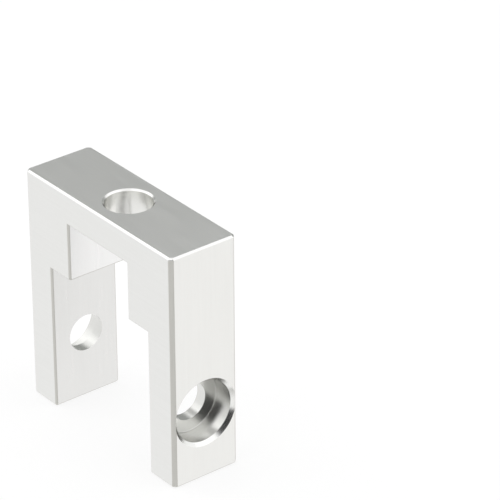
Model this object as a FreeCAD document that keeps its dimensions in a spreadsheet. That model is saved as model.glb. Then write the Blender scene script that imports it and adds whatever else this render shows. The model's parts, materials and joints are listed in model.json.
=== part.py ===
"""Linear guide mounting block: a stepped U machined from one bar of aluminium.

The block stands on its two feet. X runs along its length, Y through its thickness
and Z up, and the origin lies in the middle of its underside. A wide slot between the
legs and a narrower slot above it make room for the guide. A plain bore goes down
through the bridge, and each leg has a counterbored hole for a socket head screw.
"""
import FreeCAD, Part
import math
import os
from enum import IntEnum

import Sketcher

NODE = "mounting_block"

# Driving dimensions, in millimetres.
SIZES = {
    "block_length": 39.0,           # end face to end face
    "block_thickness": 13.0,        # front face to back face
    "block_height": 42.3,           # feet to top face
    "lower_slot_width": 26.0,       # leg to leg
    "lower_slot_height": 26.3,      # feet to ledges
    "upper_slot_width": 15.7,       # ledge to ledge
    "bridge_thickness": 5.7,        # upper slot to top face
    "corner_chamfer": 0.6,          # on the four upright outside edges
    "edge_chamfer": 0.3,            # on every other outside edge
    "bridge_bore_diameter": 8.0,
    "bridge_bore_chamfer": 0.3,     # at the bore's top rim
    "screw_hole_height": 12.0,      # feet to the screw holes' axis
    "screw_hole_diameter": 6.6,     # clearance for an M6 screw
    "counterbore_diameter": 11.0,   # room for the screw's head
    "counterbore_depth": 4.4,       # end face to the shoulder under the head
    "counterbore_chamfer": 0.6,     # lead-in at the counterbore's mouth
}

CHAMFER_ANGLE = 45.0                # degrees, for every chamfer
FULL_TURN = 360.0                   # degrees
SAME_PLACE = 1e-6                   # two points closer than this are one


class Point(IntEnum):
    """The sketcher's own numbers for the ends of a line and for a circle's centre."""
    START = 1
    END = 2
    CENTRE = 3


class Axis(IntEnum):
    """The sketcher's own numbers for a sketch's axes."""
    HORIZONTAL = -1
    VERTICAL = -2


ORIGIN = (Axis.HORIZONTAL, Point.START)


def make_sheet(doc):
    """Puts the driving dimensions into a spreadsheet, one alias to a cell."""
    sheet = doc.addObject("Spreadsheet::Sheet", "sizes")
    for row, (name, value) in enumerate(SIZES.items(), start=1):
        sheet.set(f"A{row}", name)
        sheet.set(f"B{row}", str(value))
        sheet.setAlias(f"B{row}", name)
    doc.recompute()
    return sheet


def origin_plane(body, role):
    """One of the body's own origin planes."""
    return next(item for item in body.Origin.OriginFeatures if item.Role == role)


def make_sketch(body, name, plane, **offset):
    """A new sketch on one of the body's origin planes, moved from it by offsets bound to the sheet."""
    sketch = body.newObject("Sketcher::SketchObject", name)
    sketch.AttachmentSupport = [(origin_plane(body, plane), "")]
    sketch.MapMode = "FlatFace"
    for axis, expression in offset.items():
        sketch.setExpression(f"AttachmentOffset.Base.{axis}", expression)
    return sketch


def draw_chain(sketch, points):
    """A closed chain of straight lines: line n runs from point n to the next point."""
    corners = [FreeCAD.Vector(x, y, 0) for x, y in points]
    following = corners[1:] + corners[:1]
    for begin, finish in zip(corners, following):
        sketch.addGeometry(Part.LineSegment(begin, finish), False)
    for line in range(len(corners)):
        next_line = (line + 1) % len(corners)
        sketch.addConstraint(Sketcher.Constraint("Coincident", line, Point.END, next_line, Point.START))


def turn_lines(sketch, kind, *lines):
    """Makes lines horizontal or vertical."""
    for line in lines:
        sketch.addConstraint(Sketcher.Constraint(kind, line))


def bind(sketch, constraint, name, expression):
    """Adds a constraint with a size and binds that size to the sheet."""
    index = sketch.addConstraint(constraint)
    sketch.renameConstraint(index, name)
    sketch.setExpression(f".Constraints.{name}", expression)


def bind_distance(sketch, kind, first, second, name, expression):
    """A distance along one of the sketch's axes, from the first point to the second."""
    bind(sketch, Sketcher.Constraint(kind, *first, *second, 1.0), name, expression)


def make_blank(body):
    """The stepped U, drawn as seen from the front and padded evenly to both sides of its middle plane."""
    half_length = SIZES["block_length"] / 2
    half_lower = SIZES["lower_slot_width"] / 2
    half_upper = SIZES["upper_slot_width"] / 2
    top = SIZES["block_height"]
    ledge = SIZES["lower_slot_height"]
    ceiling = top - SIZES["bridge_thickness"]
    right_half = [
        (half_upper, ceiling),
        (half_upper, ledge),
        (half_lower, ledge),
        (half_lower, 0),
        (half_length, 0),
        (half_length, top),
    ]
    left_half = [(-x, z) for x, z in reversed(right_half)]
    sketch = make_sketch(body, "front_outline", "XZ_Plane")
    draw_chain(sketch, right_half + left_half)

    right_lines = range(len(right_half) - 1)
    top_line = len(right_lines)
    left_lines = range(top_line + 1, top_line + 1 + len(right_lines))
    ceiling_line = left_lines.stop
    right_upper_wall, right_ledge, right_lower_wall, right_foot, right_end = right_lines
    left_end, left_foot, left_lower_wall, left_ledge, left_upper_wall = left_lines
    turn_lines(sketch, "Vertical", right_upper_wall, right_lower_wall, right_end)
    turn_lines(sketch, "Vertical", left_upper_wall, left_lower_wall, left_end)
    turn_lines(sketch, "Horizontal", right_ledge, right_foot, left_ledge, left_foot)

    top_corners = ((top_line, Point.END), (top_line, Point.START))
    lower_corners = ((left_ledge, Point.START), (right_ledge, Point.END))
    upper_corners = ((ceiling_line, Point.START), (ceiling_line, Point.END))
    for left, right in (top_corners, lower_corners, upper_corners):
        sketch.addConstraint(Sketcher.Constraint("Symmetric", *left, *right, Axis.VERTICAL))
    for foot in (right_foot, left_foot):
        sketch.addConstraint(Sketcher.Constraint("PointOnObject", foot, Point.START, Axis.HORIZONTAL))

    bind_distance(sketch, "DistanceX", *top_corners, "length", "sizes.block_length")
    bind_distance(sketch, "DistanceX", *lower_corners, "lower_slot", "sizes.lower_slot_width")
    bind_distance(sketch, "DistanceX", *upper_corners, "upper_slot", "sizes.upper_slot_width")
    bind_distance(sketch, "DistanceY", ORIGIN, top_corners[1], "height", "sizes.block_height")
    bind_distance(sketch, "DistanceY", ORIGIN, lower_corners[1], "ledge", "sizes.lower_slot_height")
    bind_distance(sketch, "DistanceY", upper_corners[1], top_corners[1], "bridge", "sizes.bridge_thickness")

    blank = body.newObject("PartDesign::Pad", "blank")
    blank.Profile = sketch
    blank.SideType = "Symmetric"
    blank.setExpression("Length", "sizes.block_thickness")
    body.Document.recompute()
    return blank


def add_chamfer(body, name, base, is_wanted, size):
    """A chamfer on those edges of the step before it whose middle point is wanted."""
    edges = enumerate(base.Shape.Edges, start=1)
    wanted = [f"Edge{number}" for number, edge in edges if is_wanted(edge.CenterOfMass)]
    chamfer = body.newObject("PartDesign::Chamfer", name)
    chamfer.Base = (base, wanted)
    chamfer.setExpression("Size", size)
    body.Document.recompute()
    return chamfer


def break_edges(body, blank):
    """Chamfers on every outside edge: upright corners first, then the rest. Inside corners stay sharp."""
    top = SIZES["block_height"]
    strip_x = SIZES["block_length"] / 2 - SIZES["corner_chamfer"] - SAME_PLACE
    strip_y = SIZES["block_thickness"] / 2 - SIZES["corner_chamfer"] - SAME_PLACE
    inside_corners = [
        FreeCAD.Vector(SIZES["lower_slot_width"] / 2, 0, SIZES["lower_slot_height"]),
        FreeCAD.Vector(SIZES["upper_slot_width"] / 2, 0, top - SIZES["bridge_thickness"]),
    ]

    def is_upright(middle):
        at_corner = abs(middle.x) > strip_x and abs(middle.y) > strip_y
        return at_corner and SAME_PLACE < middle.z < top - SAME_PLACE

    def is_other_outside(middle):
        on_right = FreeCAD.Vector(abs(middle.x), middle.y, middle.z)
        is_inside = any(corner.isEqual(on_right, SAME_PLACE) for corner in inside_corners)
        return not is_inside and not is_upright(middle)

    corners = add_chamfer(body, "broken_corners", blank, is_upright, "sizes.corner_chamfer")
    edges = add_chamfer(body, "broken_edges", corners, is_other_outside, "sizes.edge_chamfer")
    return corners, edges


def drill_bridge(body):
    """The plain bore down through the bridge, with a chamfer at its top rim."""
    diameter = SIZES["bridge_bore_diameter"]
    up = FreeCAD.Vector(0, 0, 1)
    sketch = make_sketch(body, "bridge_bore_circle", "XY_Plane", z="sizes.block_height")
    circle = sketch.addGeometry(Part.Circle(FreeCAD.Vector(0, 0, 0), up, diameter / 2), False)
    sketch.addConstraint(Sketcher.Constraint("Coincident", circle, Point.CENTRE, *ORIGIN))
    bind(sketch, Sketcher.Constraint("Diameter", circle, diameter), "bore", "sizes.bridge_bore_diameter")
    body.Document.recompute()

    bore = body.newObject("PartDesign::Hole", "bridge_bore")
    bore.Profile = sketch
    bore.DepthType = "ThroughAll"
    bore.HoleCutType = "Countersink"
    bore.HoleCutCountersinkAngle = 2 * CHAMFER_ANGLE
    bore.setExpression("Diameter", "sizes.bridge_bore_diameter")
    bore.setExpression("HoleCutDiameter", "sizes.bridge_bore_diameter + 2 * sizes.bridge_bore_chamfer")
    body.Document.recompute()
    return bore


def drill_legs(body):
    """The right leg's counterbored screw hole, cut round its axis, and its mirror image in the left leg."""
    middle = -SIZES["block_length"] / 2
    shoulder = -SIZES["counterbore_depth"]
    lead_in = SIZES["counterbore_chamfer"]
    hole_radius = SIZES["screw_hole_diameter"] / 2
    head_radius = SIZES["counterbore_diameter"] / 2
    section = [
        (middle, 0),
        (middle, hole_radius),
        (shoulder, hole_radius),
        (shoulder, head_radius),
        (-lead_in, head_radius),
        (lead_in, head_radius + 2 * lead_in),
        (lead_in, 0),
    ]
    sketch = make_sketch(body, "screw_hole_section", "XZ_Plane",
                         x="sizes.block_length / 2", y="sizes.screw_hole_height")
    draw_chain(sketch, section)

    lines = range(len(section))
    middle_line, hole_wall, shoulder_line, head_wall, lead_in_line, outer_line, axis_line = lines
    turn_lines(sketch, "Vertical", middle_line, shoulder_line, outer_line)
    turn_lines(sketch, "Horizontal", hole_wall, head_wall, axis_line)
    sketch.addConstraint(Sketcher.Constraint("PointOnObject", axis_line, Point.START, Axis.HORIZONTAL))
    sketch.addConstraint(Sketcher.Constraint("Angle", lead_in_line, math.radians(CHAMFER_ANGLE)))

    bind_distance(sketch, "DistanceX", (middle_line, Point.START), ORIGIN,
                  "to_middle", "sizes.block_length / 2")
    bind_distance(sketch, "DistanceX", (shoulder_line, Point.START), ORIGIN,
                  "depth", "sizes.counterbore_depth")
    bind_distance(sketch, "DistanceX", (lead_in_line, Point.START), ORIGIN,
                  "lead_in", "sizes.counterbore_chamfer")
    bind_distance(sketch, "DistanceX", ORIGIN, (lead_in_line, Point.END),
                  "overrun", "sizes.counterbore_chamfer")
    bind_distance(sketch, "DistanceY", ORIGIN, (hole_wall, Point.START),
                  "hole", "sizes.screw_hole_diameter / 2")
    bind_distance(sketch, "DistanceY", ORIGIN, (head_wall, Point.START),
                  "head", "sizes.counterbore_diameter / 2")

    right_hole = body.newObject("PartDesign::Groove", "right_screw_hole")
    right_hole.Profile = sketch
    right_hole.ReferenceAxis = (sketch, ["H_Axis"])
    right_hole.Angle = FULL_TURN
    body.Document.recompute()

    left_hole = body.newObject("PartDesign::Mirrored", "left_screw_hole")
    left_hole.Originals = [right_hole]
    left_hole.MirrorPlane = (origin_plane(body, "YZ_Plane"), [""])
    body.Tip = left_hole
    body.Document.recompute()
    return right_hole, left_hole


def check_cuts(stages):
    """Each step after the blank takes material away, so the volume falls from step to step."""
    for before, after in zip(stages, stages[1:]):
        if not 0 < after.Shape.Volume < before.Shape.Volume:
            raise RuntimeError(f"{after.Name} cut nothing")


def check_document(doc, body):
    """Stops before anything is written if a step failed or the block isn't one sound solid."""
    for item in doc.Objects:
        if "Invalid" in item.State or "Error" in item.State:
            raise RuntimeError(f"{item.Name} failed: {item.State}")
    shape = body.Shape
    if shape.isNull() or not shape.isValid() or len(shape.Solids) != 1:
        raise RuntimeError(f"{body.Label} isn't one valid solid")


def main():
    doc = FreeCAD.newDocument("linear_guide_mounting_block")
    make_sheet(doc)
    body = doc.addObject("PartDesign::Body", NODE)
    body.Label = NODE
    body.Placement = FreeCAD.Placement()
    blank = make_blank(body)
    corners, edges = break_edges(body, blank)
    bore = drill_bridge(body)
    right_hole, left_hole = drill_legs(body)
    check_cuts([blank, corners, edges, bore, right_hole, left_hole])
    check_document(doc, body)
    os.makedirs("parts", exist_ok=True)
    body.Shape.exportStep(f"parts/{body.Label}.step")
    box = body.Shape.BoundBox
    size = f"{box.XLength:.3f} x {box.YLength:.3f} x {box.ZLength:.3f} mm"
    print(f"{body.Label}: {size}, {body.Shape.Volume:.1f} mm3")


main()
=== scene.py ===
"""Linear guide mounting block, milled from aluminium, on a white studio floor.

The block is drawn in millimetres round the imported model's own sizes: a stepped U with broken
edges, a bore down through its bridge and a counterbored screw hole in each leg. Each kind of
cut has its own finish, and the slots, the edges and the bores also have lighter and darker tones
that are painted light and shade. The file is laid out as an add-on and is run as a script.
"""
import json
import math
from enum import IntEnum
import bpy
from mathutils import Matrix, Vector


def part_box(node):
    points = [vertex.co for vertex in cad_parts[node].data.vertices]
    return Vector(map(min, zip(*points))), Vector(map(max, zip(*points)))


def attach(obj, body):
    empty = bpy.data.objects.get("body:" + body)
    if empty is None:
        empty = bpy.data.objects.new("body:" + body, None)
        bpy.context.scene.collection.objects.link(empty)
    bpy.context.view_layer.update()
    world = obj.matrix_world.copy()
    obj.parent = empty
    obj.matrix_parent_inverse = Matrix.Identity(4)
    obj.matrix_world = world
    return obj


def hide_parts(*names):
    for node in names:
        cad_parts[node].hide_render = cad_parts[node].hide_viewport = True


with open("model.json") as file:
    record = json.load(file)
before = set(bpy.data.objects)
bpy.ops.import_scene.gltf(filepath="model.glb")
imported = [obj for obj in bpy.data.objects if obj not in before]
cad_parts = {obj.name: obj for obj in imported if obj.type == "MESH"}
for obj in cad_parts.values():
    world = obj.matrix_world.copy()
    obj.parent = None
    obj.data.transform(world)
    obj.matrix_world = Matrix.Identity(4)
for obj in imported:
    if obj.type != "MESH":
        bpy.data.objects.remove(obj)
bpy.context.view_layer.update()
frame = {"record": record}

from types import SimpleNamespace

import bmesh
import bpy
from bpy.props import FloatProperty, FloatVectorProperty, IntProperty, PointerProperty
from mathutils import Matrix, Vector

bl_info = {
    "name": "Linear Guide Mounting Block",
    "version": (1, 0, 0),
    "blender": (4, 5, 0),
    "location": "3D View > Sidebar > Mounting Block",
    "description": "Adds an aluminium mounting block for a linear guide and a white studio round it",
    "category": "Add Mesh",
}

NODE = "mounting_block"
BODY = "root"
LOW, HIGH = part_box(NODE)
MOUNTS = {mount["name"]: mount for mount in frame["record"]["mounts"]}

MM = 0.001                          # metres
DIGITS = 4                          # of a millimetre: single precision adds noise past these
TOOL_PATH = "tool_path"             # UV map in metres, with u along a tool's path and v across it
PATH_AXES = (Vector((1, 0, 0)), Vector((0, 0, 1)), Vector((0, 1, 0)))
TILT_DIGITS = 2                     # a face's tilts from two axes are equal if they agree to these
SQUARE_EDGE = math.radians(60)      # a square edge's faces turn by more than this, a chamfer's by less
CHAMFER_EDGE = math.radians(20)     # the faces at a chamfer's edge turn by more than this
SHARP_EDGE = math.radians(30)       # an edge whose faces turn by more than this is shaded sharp
FACING_UP = 0.1                     # a chamfer faces up where its normal rises by more than this


class Finish(IntEnum):
    """The block's material slots, one for each kind of cut. The two slots, the edges against the upward
    chamfers, and the bridge bore against the screw holes also differ in tone: the lighter of each pair
    carries painted light, the darker painted shade.
    """
    FACE = 0
    UPPER_SLOT = 1
    LOWER_SLOT = 2
    EDGE = 3
    CHAMFER = 4
    BORE = 5
    WALL = 6
    SHOULDER = 7


def linear(hex_colour):
    """An sRGB colour such as "E6E6E4" as linear red, green and blue."""
    shares = [int(hex_colour[place:place + 2], 16) / 255 for place in (0, 2, 4)]
    return [share / 12.92 if share <= 0.04045 else ((share + 0.055) / 1.055) ** 2.4 for share in shares]


def bore_diameter(mount):
    """The diameter of a bore that the record states as a mount, in metres."""
    return 2 * MOUNTS[mount]["dims"]["r_mm"] * MM


class BlockSizes(bpy.types.PropertyGroup):
    """Sizes of the block as it is milled and drilled"""
    block_length: FloatProperty(
        name="Length", description="From end face to end face",
        default=HIGH.x - LOW.x, unit="LENGTH")
    block_thickness: FloatProperty(
        name="Thickness", description="From front face to back face",
        default=HIGH.y - LOW.y, unit="LENGTH")
    block_height: FloatProperty(
        name="Height", description="From the feet to the top face",
        default=HIGH.z - LOW.z, unit="LENGTH")
    lower_slot_width: FloatProperty(
        name="Lower Slot Width", description="From leg to leg",
        default=2 * MOUNTS["right_leg_inner_face"]["pos_m"][0], unit="LENGTH")
    lower_slot_height: FloatProperty(
        name="Lower Slot Height", description="From the feet to the ledges",
        default=26.3 * MM, unit="LENGTH")
    upper_slot_width: FloatProperty(
        name="Upper Slot Width", description="From ledge to ledge",
        default=15.7 * MM, unit="LENGTH")
    bridge_thickness: FloatProperty(
        name="Bridge Thickness", description="From the upper slot to the top face",
        default=5.7 * MM, unit="LENGTH")
    corner_chamfer: FloatProperty(
        name="Corner Chamfer", description="Chamfer on the four upright outside edges",
        default=0.6 * MM, unit="LENGTH")
    edge_chamfer: FloatProperty(
        name="Edge Chamfer", description="Chamfer on every other outside edge",
        default=0.3 * MM, unit="LENGTH")
    deburring: FloatProperty(
        name="Deburring", description="Round that deburring leaves beside each chamfer",
        default=0.05 * MM, unit="LENGTH")
    bridge_bore_diameter: FloatProperty(
        name="Bridge Bore Diameter", description="Plain bore down through the bridge",
        default=bore_diameter("bridge_bore"), unit="LENGTH")
    bridge_bore_chamfer: FloatProperty(
        name="Bridge Bore Chamfer", description="Chamfer at the bore's top rim",
        default=0.3 * MM, unit="LENGTH")
    screw_hole_height: FloatProperty(
        name="Screw Hole Height", description="From the feet to the screw holes' axis",
        default=MOUNTS["right_screw_hole"]["pos_m"][2], unit="LENGTH")
    screw_hole_diameter: FloatProperty(
        name="Screw Hole Diameter", description="Clearance hole through each leg",
        default=bore_diameter("right_screw_hole"), unit="LENGTH")
    counterbore_diameter: FloatProperty(
        name="Counterbore Diameter", description="Recess for the screw's head",
        default=bore_diameter("right_counterbore"), unit="LENGTH")
    counterbore_depth: FloatProperty(
        name="Counterbore Depth", description="From the end face to the shoulder under the screw's head",
        default=4.4 * MM, unit="LENGTH")
    counterbore_chamfer: FloatProperty(
        name="Counterbore Chamfer", description="Lead-in at the counterbore's mouth",
        default=0.6 * MM, unit="LENGTH")
    cutter_corner: FloatProperty(
        name="Cutter Corner", description="Radius that the counterbore's cutter leaves at the shoulder",
        default=0.15 * MM, unit="LENGTH")
    turned_sides: IntProperty(
        name="Turned Sides", description="Flats that make up each round bore",
        default=144, min=24)


class AluminiumLooks(bpy.types.PropertyGroup):
    """Colour and gloss of the block's finishes"""
    face_metal: FloatVectorProperty(
        name="Face Tone", description="Aluminium on the milled faces",
        default=linear("E9E9E7"), subtype="COLOR", min=0.0, max=1.0)
    # Lighter than the lower slot's tone: painted light.
    upper_slot_metal: FloatVectorProperty(
        name="Upper Slot Tone", description="Aluminium in the upper slot",
        default=linear("F0F0F0"), subtype="COLOR", min=0.0, max=1.0)
    # Darker than the upper slot's tone: painted shade.
    lower_slot_metal: FloatVectorProperty(
        name="Lower Slot Tone", description="Aluminium in the lower slot",
        default=linear("E2E2E1"), subtype="COLOR", min=0.0, max=1.0)
    # Darker than the faces: painted shade on the chamfers and rounds that don't face up.
    edge_metal: FloatVectorProperty(
        name="Edge Tone", description="Aluminium on the edges that were filed",
        default=linear("D0CFCA"), subtype="COLOR", min=0.0, max=1.0)
    # Lighter than the faces: a painted highlight on the upward chamfers and the bores' lead-ins.
    chamfer_metal: FloatVectorProperty(
        name="Chamfer Tone", description="Aluminium on the chamfers round the top and the bores",
        default=linear("F5F5F3"), subtype="COLOR", min=0.0, max=1.0)
    # Lighter than the faces: painted light in the bridge bore.
    bore_metal: FloatVectorProperty(
        name="Bore Tone", description="Aluminium in the bridge bore",
        default=linear("EEEEEB"), subtype="COLOR", min=0.0, max=1.0)
    # Darker than the faces: painted shade in the screw holes and their counterbores.
    screw_hole_metal: FloatVectorProperty(
        name="Screw Hole Tone", description="Aluminium in the screw holes and their counterbores",
        default=linear("E1E1DE"), subtype="COLOR", min=0.0, max=1.0)
    rubbed_tone: FloatProperty(
        name="Rubbed Tone", description="Share of the metal's tone that is left where a tool rubbed it",
        default=0.975, subtype="FACTOR", min=0.0, max=1.0)
    face_roughness: FloatProperty(
        name="Face Roughness", description="Roughness of the milled faces",
        default=0.34, subtype="FACTOR", min=0.0, max=1.0)
    slot_roughness: FloatProperty(
        name="Slot Roughness", description="Roughness of the slots' faces",
        default=0.30, subtype="FACTOR", min=0.0, max=1.0)
    edge_roughness: FloatProperty(
        name="Edge Roughness", description="Roughness of the filed edges",
        default=0.35, subtype="FACTOR", min=0.0, max=1.0)
    chamfer_roughness: FloatProperty(
        name="Chamfer Roughness", description="Roughness of the chamfers round the top and the bores",
        default=0.22, subtype="FACTOR", min=0.0, max=1.0)
    bore_roughness: FloatProperty(
        name="Bore Roughness", description="Roughness of the bridge bore",
        default=0.24, subtype="FACTOR", min=0.0, max=1.0)
    wall_roughness: FloatProperty(
        name="Wall Roughness", description="Roughness of the screw holes' and counterbores' walls",
        default=0.27, subtype="FACTOR", min=0.0, max=1.0)
    shoulder_roughness: FloatProperty(
        name="Shoulder Roughness", description="Roughness of the counterbores' shoulders",
        default=0.22, subtype="FACTOR", min=0.0, max=1.0)


class StudioSettings(bpy.types.PropertyGroup):
    """Camera, floor and light round the block"""
    camera_azimuth: FloatProperty(
        name="Camera Azimuth", description="Turn of the camera round the block from its front",
        default=math.radians(51.738), subtype="ANGLE")
    camera_elevation: FloatProperty(
        name="Camera Elevation", description="Height of the camera above the horizon",
        default=math.radians(29.203), subtype="ANGLE")
    camera_roll: FloatProperty(
        name="Camera Roll", description="Turn of the camera about its own line of sight",
        default=math.radians(-0.317), subtype="ANGLE")
    camera_distance: FloatProperty(
        name="Camera Distance", description="From the camera to the block's middle",
        default=562.485 * MM, unit="LENGTH")
    camera_aside: FloatProperty(
        name="Camera Aside", description="How far the picture's middle lies to the right of the block's",
        default=19.244 * MM, unit="LENGTH")
    camera_above: FloatProperty(
        name="Camera Above", description="How far the picture's middle lies above the block's",
        default=10.649 * MM, unit="LENGTH")
    lens: FloatProperty(
        name="Lens", description="Focal length in millimetres on a sensor 36 mm wide",
        default=249.1, unit="CAMERA")
    floor_size: FloatProperty(
        name="Floor Size", description="Length of each side of the floor",
        default=4.0, unit="LENGTH")
    floor_colour: FloatVectorProperty(
        name="Floor", description="White paper that the block stands on",
        default=linear("FFFFFF"), subtype="COLOR", min=0.0, max=1.0)
    floor_shade: FloatProperty(
        name="Floor Shade", description="Share of the floor's tone that the block's shadow can take",
        default=0.25, subtype="FACTOR", min=0.0, max=1.0)
    floor_glow: FloatProperty(
        name="Floor Glow", description="Glow that makes up for the light the cards keep from the floor",
        default=1.05, min=0.0)
    card_distance: FloatProperty(
        name="Card Distance", description="From the block to the cards and lamps round it",
        default=1.0, unit="LENGTH")


class BlockSettings(bpy.types.PropertyGroup):
    """Everything that a user would change"""
    sizes: PointerProperty(type=BlockSizes)
    looks: PointerProperty(type=AluminiumLooks)
    studio: PointerProperty(type=StudioSettings)


def in_millimetres(sizes):
    """The block's sizes in millimetres, without the last digits that single precision adds."""
    names = [name for name in BlockSizes.__annotations__ if name != "turned_sides"]
    drawn = {name: round(getattr(sizes, name) / MM, DIGITS) for name in names}
    return SimpleNamespace(**drawn, turned_sides=sizes.turned_sides)


# The block's shape

def stepped_outline(size):
    """Corners of the stepped U as (x, z), seen from the front."""
    ceiling = size.block_height - size.bridge_thickness
    right_half = [
        (size.upper_slot_width / 2, ceiling),
        (size.upper_slot_width / 2, size.lower_slot_height),
        (size.lower_slot_width / 2, size.lower_slot_height),
        (size.lower_slot_width / 2, 0),
        (size.block_length / 2, 0),
        (size.block_length / 2, size.block_height),
    ]
    left_half = [(-x, z) for x, z in reversed(right_half)]
    return right_half + left_half


def mill_blank(size):
    """The stepped U with square edges."""
    blank = bmesh.new()
    front = -size.block_thickness / 2
    corners = [blank.verts.new((x, front, z)) for x, z in stepped_outline(size)]
    outline = blank.faces.new(corners)
    swept = bmesh.ops.extrude_face_region(blank, geom=[outline])
    back_corners = [item for item in swept["geom"] if isinstance(item, bmesh.types.BMVert)]
    bmesh.ops.translate(blank, verts=back_corners, vec=(0, size.block_thickness, 0))
    bmesh.ops.recalc_face_normals(blank, faces=blank.faces)
    return blank


def break_edges(blank, is_wanted, width, segments=1):
    """Chamfers the wanted edges, or rounds them where there is more than one segment."""
    wanted = [edge for edge in blank.edges if is_wanted(edge)]
    # The new faces take the edge material, whose darker tone is painted shade.
    bmesh.ops.bevel(blank, geom=wanted, affect="EDGES", offset=width, offset_type="OFFSET",
                    segments=segments, profile=0.5, material=Finish.EDGE)


def outside_edge(least_turn):
    """A test for outside edges whose two faces turn from each other by more than an angle."""
    return lambda edge: edge.is_convex and edge.calc_face_angle() > least_turn


def is_upright_corner(edge):
    """Whether an edge of the square blank is one of its four upright outside corners."""
    first, second = (vert.co for vert in edge.verts)
    reach = max(abs(vert.co.x) for face in edge.link_faces for vert in face.verts)
    return first.x == second.x and first.y == second.y and abs(first.x) == reach


def mark_slots(blank, size):
    """Gives each slot's faces on the square blank their slot's material: the upper slot's lighter tone is
    painted light, the lower slot's darker tone painted shade.

    A face belongs to the narrowest slot that it doesn't reach past."""
    past_upper_slot = (size.upper_slot_width + size.lower_slot_width) / 4
    past_lower_slot = (size.lower_slot_width + size.block_length) / 4
    for face in blank.faces:
        reach = max(abs(vert.co.x) for vert in face.verts)
        if reach < past_upper_slot:
            face.material_index = Finish.UPPER_SLOT
        elif reach < past_lower_slot:
            face.material_index = Finish.LOWER_SLOT


def mark_top_chamfers(blank):
    """Gives the chamfers that face up a lighter tone, a painted highlight; the rest keep the darker edge
    tone, painted shade.
    """
    for face in blank.faces:
        if face.material_index == Finish.EDGE and face.normal.z > FACING_UP:
            face.material_index = Finish.CHAMFER


def lay_tool_paths(blank):
    """UVs for flat cuts: u follows the first of X, Z and Y that lies in the face or nearest to it."""
    layer = blank.loops.layers.uv.new(TOOL_PATH)
    for face in blank.faces:
        along = min(PATH_AXES, key=lambda axis: round(abs(face.normal.dot(axis)), TILT_DIGITS))
        across = face.normal.cross(along)
        for loop in face.loops:
            loop[layer].uv = (loop.vert.co.dot(along) * MM, loop.vert.co.dot(across) * MM)


def round_corner(before, corner, after, radius, steps=5):
    """Points of the arc that rounds a profile's corner."""
    towards = (Vector(before) - Vector(corner)).normalized()
    away = (Vector(after) - Vector(corner)).normalized()
    half = towards.angle(away) / 2
    centre = Vector(corner) + (towards + away).normalized() * radius / math.sin(half)
    first = Vector(corner) + towards * radius / math.tan(half) - centre
    last = Vector(corner) + away * radius / math.tan(half) - centre
    return [tuple(centre + radius * first.slerp(last, step / steps)) for step in range(steps + 1)]


def screw_hole_profile(size):
    """Stretches of the screw hole's cutter from the end face inwards, as (finish, points).

    A point is (height above the end face, radius)."""
    lead_in = size.counterbore_chamfer
    head = size.counterbore_diameter / 2
    hole = size.screw_hole_diameter / 2
    through = -size.block_length / 2 + size.upper_slot_width / 2
    mouth = (lead_in, head + 2 * lead_in)
    neck = (-lead_in, head)
    corner = (-size.counterbore_depth, head)
    rim = (-size.counterbore_depth, hole)
    rounded = round_corner(neck, corner, rim, size.cutter_corner)
    return [
        (Finish.CHAMFER, [mouth, neck]),
        (Finish.WALL, [neck, rounded[0]]),
        (Finish.SHOULDER, rounded),
        (Finish.SHOULDER, [rounded[-1], rim]),
        (Finish.WALL, [rim, (through, hole)]),
    ]


def bridge_bore_profile(size):
    """Stretches of the bridge bore's cutter from the top face down, in the same form."""
    chamfer = size.bridge_bore_chamfer
    bore = size.bridge_bore_diameter / 2
    through = -2 * size.bridge_thickness
    mouth = (chamfer, bore + 2 * chamfer)
    neck = (-chamfer, bore)
    return [
        (Finish.CHAMFER, [mouth, neck]),
        (Finish.BORE, [neck, (through, bore)]),
    ]


def turn_cutter(cutters, profile, place, sides):
    """Turns a profile round the Z axis into a closed solid, and puts it in its place.

    Its UVs run round the axis in u and along the profile in v."""
    layer = cutters.loops.layers.uv.verify()
    stations = [point for finish, points in profile for point in points[:-1]] + [profile[-1][1][-1]]
    finishes = [finish for finish, points in profile for point in points[:-1]]
    turns = [math.tau * side / sides for side in range(sides + 1)]
    rings = []
    for height, radius in stations:
        ring = [(radius * math.cos(turn), radius * math.sin(turn), height) for turn in turns[:-1]]
        rings.append([cutters.verts.new(place @ Vector(spot)) for spot in ring])
    travelled = 0.0
    for step, finish in enumerate(finishes):
        upper, lower = rings[step], rings[step + 1]
        reach = math.dist(stations[step], stations[step + 1])
        radius = (stations[step][1] + stations[step + 1][1]) / 2
        for side in range(sides):
            after = (side + 1) % sides
            face = cutters.faces.new((upper[side], lower[side], lower[after], upper[after]))
            face.material_index = finish
            spots = ((side, 0), (side, reach), (side + 1, reach), (side + 1, 0))
            for loop, (turn, down) in zip(face.loops, spots):
                loop[layer].uv = (turns[turn] * radius * MM, (travelled + down) * MM)
        travelled += reach
    cutters.faces.new(rings[0])
    cutters.faces.new(list(reversed(rings[-1])))


def make_cutters(size):
    """The three cutters: one for the bridge bore and one for each leg's screw hole."""
    cutters = bmesh.new()
    above = Matrix.Translation((0, 0, size.block_height))
    turn_cutter(cutters, bridge_bore_profile(size), above, size.turned_sides)
    for side in (1, -1):
        end_face = Matrix.Translation((side * size.block_length / 2, 0, size.screw_hole_height))
        facing_out = Matrix.Rotation(side * math.pi / 2, 4, "Y")
        turn_cutter(cutters, screw_hole_profile(size), end_face @ facing_out, size.turned_sides)
    bmesh.ops.recalc_face_normals(cutters, faces=cutters.faces)
    return cutters


def add_object(name, shape, materials=()):
    """Turns a bmesh into an object of the scene."""
    mesh = bpy.data.meshes.new(name)
    shape.to_mesh(mesh)
    shape.free()
    for material in materials:
        mesh.materials.append(material)
    piece = bpy.data.objects.new(name, mesh)
    bpy.context.scene.collection.objects.link(piece)
    return piece


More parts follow.
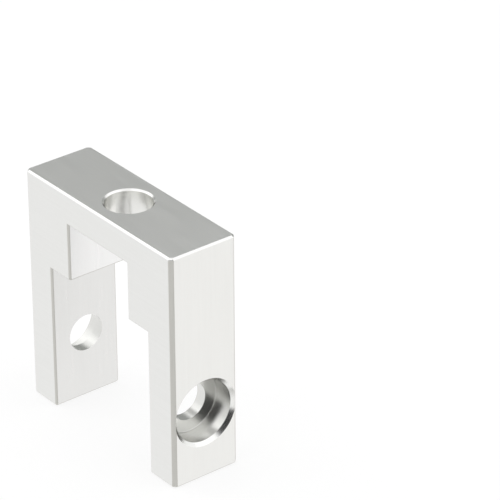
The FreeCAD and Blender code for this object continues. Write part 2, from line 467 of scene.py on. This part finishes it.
def drill(piece, cutters):
    """Cuts the cutters out of a piece for good and removes them."""
    cut = piece.modifiers.new("holes", "BOOLEAN")
    cut.operation = "DIFFERENCE"
    cut.solver = "EXACT"
    cut.material_mode = "INDEX"
    cut.object = cutters
    ready = bpy.context.evaluated_depsgraph_get()
    whole = piece.data
    drilled = bpy.data.meshes.new_from_object(piece.evaluated_get(ready))
    piece.modifiers.clear()
    piece.data = drilled
    drilled.name = whole.name
    for spare in (whole, cutters.data):
        bpy.data.meshes.remove(spare)


def make_block(size, materials):
    """The finished block, in metres, with its flat faces shaded flat and its rounds smooth."""
    blank = mill_blank(size)
    mark_slots(blank, size)
    break_edges(blank, is_upright_corner, size.corner_chamfer)
    break_edges(blank, outside_edge(SQUARE_EDGE), size.edge_chamfer)
    break_edges(blank, outside_edge(CHAMFER_EDGE), size.deburring, segments=2)
    mark_top_chamfers(blank)
    lay_tool_paths(blank)
    block = add_object("milled_block", blank, materials)
    drill(block, add_object("cutters", make_cutters(size), materials))
    mesh = block.data
    mesh.transform(Matrix.Scale(MM, 4))
    mesh.shade_smooth()
    mesh.set_sharp_from_angle(angle=SHARP_EDGE)
    shading = block.modifiers.new("flat faces", "WEIGHTED_NORMAL")
    shading.keep_sharp = True
    return block


# The block's finishes

# Lines that each tool leaves, in millimetres. Real ones are under 0.1 mm apart, or about that in a bore,
# which is too fine to show in a picture of the whole block, so all of them are drawn as coarse as they
# need to show.
MILLED_LINES = dict(spacing=0.5, length=12.0, depth=0.00012)
FILE_SCRATCHES = dict(spacing=0.25, length=8.0, depth=0.0002)
CHAMFER_LINES = dict(spacing=0.25, length=8.0, depth=0.0001)
TURNED_RINGS = dict(spacing=0.3, length=20.0, depth=0.0001)

RING_SMEAR = 0.3                    # how much a bore's rings draw reflections out
QUARTER_TURN = 0.25                 # from round a bore, where its tangent runs, to along it
GLOSS_SWING = 0.1                   # share by which roughness rises and falls from line to line
NOISE_LOW, NOISE_HIGH = 0.25, 0.75  # the noise seldom leaves this range

# A Mix node's sockets for colour, which share their names with its sockets for numbers
MIX_SHARE, MIX_FIRST, MIX_SECOND = 0, 6, 7
MIX_RESULT = 2


def add_node(tree, kind, inputs=None, **settings):
    """Adds a node, sets its settings and sets or links its inputs.

    An input goes by its name, or by its number where the node has several of that name."""
    node = tree.nodes.new(kind)
    for name, value in settings.items():
        setattr(node, name, value)
    for socket, value in (inputs or {}).items():
        if isinstance(value, bpy.types.NodeSocket):
            tree.links.new(value, node.inputs[socket])
        else:
            node.inputs[socket].default_value = value
    return node


def new_material(name):
    """An empty material and its node tree."""
    material = bpy.data.materials.new(name)
    material.use_nodes = True
    material.node_tree.nodes.clear()
    return material, material.node_tree


def cut_aluminium(name, looks, metal, roughness, spacing, length, depth, smear=0.0):
    """Bare aluminium with the lines that a tool leaves: so far apart, so long and so deep in millimetres.

    Smear is how much the lines draw reflections out across themselves."""
    material, tree = new_material(name)
    path = add_node(tree, "ShaderNodeUVMap", uv_map=TOOL_PATH)
    stretched = add_node(tree, "ShaderNodeMapping", {
        "Vector": path.outputs["UV"],
        "Scale": (1 / (length * MM), 1 / (spacing * MM), 1.0),
    })
    lines = add_node(tree, "ShaderNodeTexNoise", {
        "Vector": stretched.outputs["Vector"], "Scale": 1.0, "Detail": 2.0, "Roughness": 0.6,
    }, noise_dimensions="2D")
    tone = add_node(tree, "ShaderNodeMix", {
        MIX_SHARE: lines.outputs["Fac"],
        MIX_FIRST: (*(looks.rubbed_tone * metal), 1.0),
        MIX_SECOND: (*metal, 1.0),
    }, data_type="RGBA")
    gloss = add_node(tree, "ShaderNodeMapRange", {
        "Value": lines.outputs["Fac"], "From Min": NOISE_LOW, "From Max": NOISE_HIGH,
        "To Min": roughness * (1 + GLOSS_SWING), "To Max": roughness * (1 - GLOSS_SWING),
    })
    ridges = add_node(tree, "ShaderNodeBump", {
        "Height": lines.outputs["Fac"], "Strength": 1.0, "Distance": depth * MM,
    })
    surface = add_node(tree, "ShaderNodeBsdfPrincipled", {
        "Base Color": tone.outputs[MIX_RESULT], "Metallic": 1.0,
        "Roughness": gloss.outputs["Result"], "Normal": ridges.outputs["Normal"],
    })
    if smear:
        tangent = add_node(tree, "ShaderNodeTangent", direction_type="UV_MAP", uv_map=TOOL_PATH)
        surface.inputs["Anisotropic"].default_value = smear
        surface.inputs["Anisotropic Rotation"].default_value = QUARTER_TURN
        tree.links.new(tangent.outputs["Tangent"], surface.inputs["Tangent"])
    add_node(tree, "ShaderNodeOutputMaterial", {"Surface": surface.outputs["BSDF"]})
    return material


def face_milled_aluminium(looks):
    """Aluminium bar, face milled with a fine feed: an even satin, faintly streaked along the cut."""
    return cut_aluminium("face milled aluminium", looks, looks.face_metal, looks.face_roughness,
                         **MILLED_LINES)


def upper_slot_lit_aluminium(looks):
    """The same aluminium in the upper slot, as streaked, with a lighter tone that is painted light."""
    return cut_aluminium("upper slot lit aluminium", looks, looks.upper_slot_metal, looks.slot_roughness,
                         **MILLED_LINES)


def lower_slot_shaded_aluminium(looks):
    """The same aluminium in the lower slot, as streaked, with a darker tone that is painted shade."""
    return cut_aluminium("lower slot shaded aluminium", looks, looks.lower_slot_metal, looks.slot_roughness,
                         **MILLED_LINES)


def filed_shaded_aluminium(looks):
    """The same aluminium where a fine file broke an edge: scratches along the edge, and a darker tone
    that is painted shade.
    """
    return cut_aluminium("filed shaded aluminium", looks, looks.edge_metal, looks.edge_roughness,
                         **FILE_SCRATCHES)


def chamfer_milled_lit_aluminium(looks):
    """The same aluminium where a 45 degree cutter broke an edge: a lighter tone that is a painted
    highlight and draws a white line.
    """
    return cut_aluminium("chamfer milled lit aluminium", looks, looks.chamfer_metal, looks.chamfer_roughness,
                         **CHAMFER_LINES)


def reamed_lit_aluminium(looks):
    """The same aluminium reamed to size: a lighter tone that is painted light, with rings that draw
    reflections out along the bore.
    """
    return cut_aluminium("reamed lit aluminium", looks, looks.bore_metal, looks.bore_roughness,
                         **TURNED_RINGS, smear=RING_SMEAR)


def bored_shaded_aluminium(looks):
    """The same aluminium drilled or counterbored: rings as in a reamed bore, and a darker tone that is
    painted shade.
    """
    return cut_aluminium("bored shaded aluminium", looks, looks.screw_hole_metal, looks.wall_roughness,
                         **TURNED_RINGS, smear=RING_SMEAR)


def spot_faced_shaded_aluminium(looks):
    """The same aluminium faced by a turning cutter: glossy, with rings round the hole, and the holes'
    darker tone that is painted shade.
    """
    return cut_aluminium("spot faced shaded aluminium", looks, looks.screw_hole_metal, looks.shoulder_roughness,
                         **TURNED_RINGS)


def make_finishes(looks):
    """The block's materials in the order of its slots."""
    return [
        face_milled_aluminium(looks),
        upper_slot_lit_aluminium(looks),
        lower_slot_shaded_aluminium(looks),
        filed_shaded_aluminium(looks),
        chamfer_milled_lit_aluminium(looks),
        reamed_lit_aluminium(looks),
        bored_shaded_aluminium(looks),
        spot_faced_shaded_aluminium(looks),
    ]


# The studio

# Glowing sheets whose tones are painted shade: the dark room round the camera, the floor's shade toward
# the camera (set below the floor, which metal doesn't see) and the grey back of the room.
CARDS = (
    # name, azimuth and elevation of its middle, width and height as the block sees them, colour
    # (all angles in degrees)
    ("camera_side_shade_card", 55, 18, 53, 57, "383838"),
    ("camera_low_shade_card", 65, -37, 36, 62, "C6C6C4"),
    ("back_shade_card", 232, 16, 100, 51, "A2A4A2"),
)
SOFTBOXES = (
    # the same, and the brightness that it adds to the room's white
    ("left_softbox", -58, 35, 34, 28, "FFFFFF", 0.25),
    ("back_softbox", -92, 51, 60, 24, "FFFFFF", 0.3),
    ("right_softbox", 130, 44, 55, 38, "FFFFFF", 0.18),
    ("front_softbox", 2, 57, 40, 22, "FFFFFF", 0.2),
    ("fill_softbox", 128, -30, 60, 50, "FFF6E6", 0.075),
)


def direction(azimuth, elevation):
    """Unit vector from the block: azimuth 0 is in front of it and a quarter turn at its right end."""
    level = math.cos(elevation)
    return Vector((math.sin(azimuth) * level, -math.cos(azimuth) * level, math.sin(elevation)))


def span(degrees, distance):
    """Width of a card or lamp that fills an angle at a distance."""
    return 2 * distance * math.tan(math.radians(degrees) / 2)


def hang(piece, middle, distance, azimuth, elevation):
    """Hangs a card or lamp round the block, facing its middle and out of the camera's sight."""
    outwards = direction(math.radians(azimuth), math.radians(elevation))
    piece.location = middle + distance * outwards
    piece.rotation_mode = "QUATERNION"
    piece.rotation_quaternion = (-outwards).to_track_quat("-Z", "Y")
    piece.visible_camera = False


def white_paper(studio):
    """Matt white paper that reads as plain white where it is seen, but for the block's soft shadow."""
    material, tree = new_material("white paper")
    light_path = add_node(tree, "ShaderNodeLightPath")
    seen = add_node(tree, "ShaderNodeMath", {
        0: light_path.outputs["Is Camera Ray"], 1: light_path.outputs["Is Glossy Ray"],
    }, operation="MAXIMUM")
    seen = add_node(tree, "ShaderNodeMath", {
        0: seen.outputs["Value"], 1: light_path.outputs["Is Transmission Ray"],
    }, operation="MAXIMUM")
    paper = add_node(tree, "ShaderNodeBsdfDiffuse", {"Color": (*studio.floor_colour, 1.0)})
    glow = add_node(tree, "ShaderNodeEmission", {
        "Color": (*studio.floor_colour, 1.0), "Strength": studio.floor_glow,
    })
    shown = add_node(tree, "ShaderNodeMixShader", {
        "Fac": studio.floor_shade, 1: glow.outputs["Emission"], 2: paper.outputs["BSDF"],
    })
    floor = add_node(tree, "ShaderNodeMixShader", {
        "Fac": seen.outputs["Value"], 1: paper.outputs["BSDF"], 2: shown.outputs["Shader"],
    })
    add_node(tree, "ShaderNodeOutputMaterial", {"Surface": floor.outputs["Shader"]})
    return material


def add_sheet(name, width, height, material):
    """A flat sheet of the stage."""
    shape = bmesh.new()
    corners = ((-1, -1), (1, -1), (1, 1), (-1, 1))
    shape.faces.new([shape.verts.new((x * width / 2, y * height / 2, 0)) for x, y in corners])
    sheet = add_object(name, shape, [material])
    return sheet


def add_floor(studio):
    """The floor. Metal shows the white room and the cards in its place, as in a cut-out picture.

    Light from below passes through it."""
    floor = add_sheet("studio_floor", studio.floor_size, studio.floor_size, white_paper(studio))
    floor.visible_glossy = False
    floor.visible_shadow = False


def add_cards(studio, middle):
    """Grey and dark sheets that glow at set tones for the metal to reflect: painted shade of the room
    round the camera, of its back and of the floor toward the camera.
    """
    distance = studio.card_distance
    for name, azimuth, elevation, width, height, colour in CARDS:
        material, tree = new_material(name.replace("_", " "))
        glow = add_node(tree, "ShaderNodeEmission", {"Color": (*linear(colour), 1.0), "Strength": 1.0})
        add_node(tree, "ShaderNodeOutputMaterial", {"Surface": glow.outputs["Emission"]})
        card = add_sheet(name, span(width, distance), span(height, distance), material)
        hang(card, middle, distance, azimuth, elevation)


def add_softboxes(studio, middle):
    """Large soft lamps that lift parts of the white room."""
    distance = studio.card_distance
    for name, azimuth, elevation, width, height, colour, brightness in SOFTBOXES:
        lamp = bpy.data.lights.new(name, "AREA")
        lamp.shape = "RECTANGLE"
        lamp.size = span(width, distance)
        lamp.size_y = span(height, distance)
        lamp.energy = brightness * math.pi * lamp.size * lamp.size_y
        lamp.color = linear(colour)
        softbox = bpy.data.objects.new(name, lamp)
        bpy.context.scene.collection.objects.link(softbox)
        hang(softbox, middle, distance, azimuth, elevation)


def add_room(scene):
    """A plain white room that lights the block evenly from all sides."""
    room = bpy.data.worlds.new("white room")
    room.use_nodes = True
    tree = room.node_tree
    tree.nodes.clear()
    white = add_node(tree, "ShaderNodeBackground", {"Color": (*linear("FFFFFF"), 1.0), "Strength": 1.0})
    add_node(tree, "ShaderNodeOutputWorld", {"Surface": white.outputs["Background"]})
    scene.world = room


def add_camera(scene, studio, middle):
    """The camera at the photograph's angle."""
    back = direction(studio.camera_azimuth, studio.camera_elevation)
    right = Vector((math.cos(studio.camera_azimuth), math.sin(studio.camera_azimuth), 0))
    up = back.cross(right)
    turned = Matrix((right, up, back)).transposed() @ Matrix.Rotation(studio.camera_roll, 3, "Z")
    camera = bpy.data.cameras.new("camera")
    camera.lens = studio.lens
    viewer = bpy.data.objects.new("camera", camera)
    scene.collection.objects.link(viewer)
    offset = Vector((studio.camera_aside, studio.camera_above, studio.camera_distance))
    viewer.matrix_world = Matrix.Translation(middle + turned @ offset) @ turned.to_4x4()
    scene.camera = viewer


class MOUNTING_BLOCK_OT_add_block(bpy.types.Operator):
    """Mills and drills the block and gives each of its cuts a finish"""
    bl_idname = "mounting_block.add_block"
    bl_label = "Add Mounting Block"
    bl_options = {"REGISTER", "UNDO"}

    def execute(self, context):
        settings = context.scene.mounting_block
        block = make_block(in_millimetres(settings.sizes), make_finishes(settings.looks))
        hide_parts(NODE)
        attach(block, BODY)
        return {"FINISHED"}


class MOUNTING_BLOCK_OT_add_stage(bpy.types.Operator):
    """Adds the floor, the light and the camera"""
    bl_idname = "mounting_block.add_stage"
    bl_label = "Add Studio"
    bl_options = {"REGISTER", "UNDO"}

    def execute(self, context):
        scene = context.scene
        studio = scene.mounting_block.studio
        middle = (LOW + HIGH) / 2
        scene.view_settings.view_transform = "Standard"
        add_room(scene)
        add_floor(studio)
        add_cards(studio, middle)
        add_softboxes(studio, middle)
        add_camera(scene, studio, middle)
        return {"FINISHED"}


class MOUNTING_BLOCK_PT_sidebar(bpy.types.Panel):
    """Lists the block's settings and the operators that use them"""
    bl_label = "Mounting Block"
    bl_space_type = "VIEW_3D"
    bl_region_type = "UI"
    bl_category = "Mounting Block"

    def draw(self, context):
        settings = context.scene.mounting_block
        sections = (
            (settings.sizes, None),
            (settings.looks, MOUNTING_BLOCK_OT_add_block),
            (settings.studio, MOUNTING_BLOCK_OT_add_stage),
        )
        for group, operator in sections:
            column = self.layout.column(align=True)
            for name in type(group).__annotations__:
                column.prop(group, name)
            if operator:
                self.layout.operator(operator.bl_idname)


CLASSES = (
    BlockSizes,
    AluminiumLooks,
    StudioSettings,
    BlockSettings,
    MOUNTING_BLOCK_OT_add_block,
    MOUNTING_BLOCK_OT_add_stage,
    MOUNTING_BLOCK_PT_sidebar,
)


def register():
    """Registers the classes and gives each scene the settings."""
    for cls in CLASSES:
        bpy.utils.register_class(cls)
    bpy.types.Scene.mounting_block = PointerProperty(type=BlockSettings)


def unregister():
    """Takes the settings and the classes away again."""
    del bpy.types.Scene.mounting_block
    for cls in reversed(CLASSES):
        bpy.utils.unregister_class(cls)


def main():
    """Adds the block and its studio."""
    register()
    bpy.ops.mounting_block.add_block()
    bpy.ops.mounting_block.add_stage()


if __name__ == "__main__":
    main()
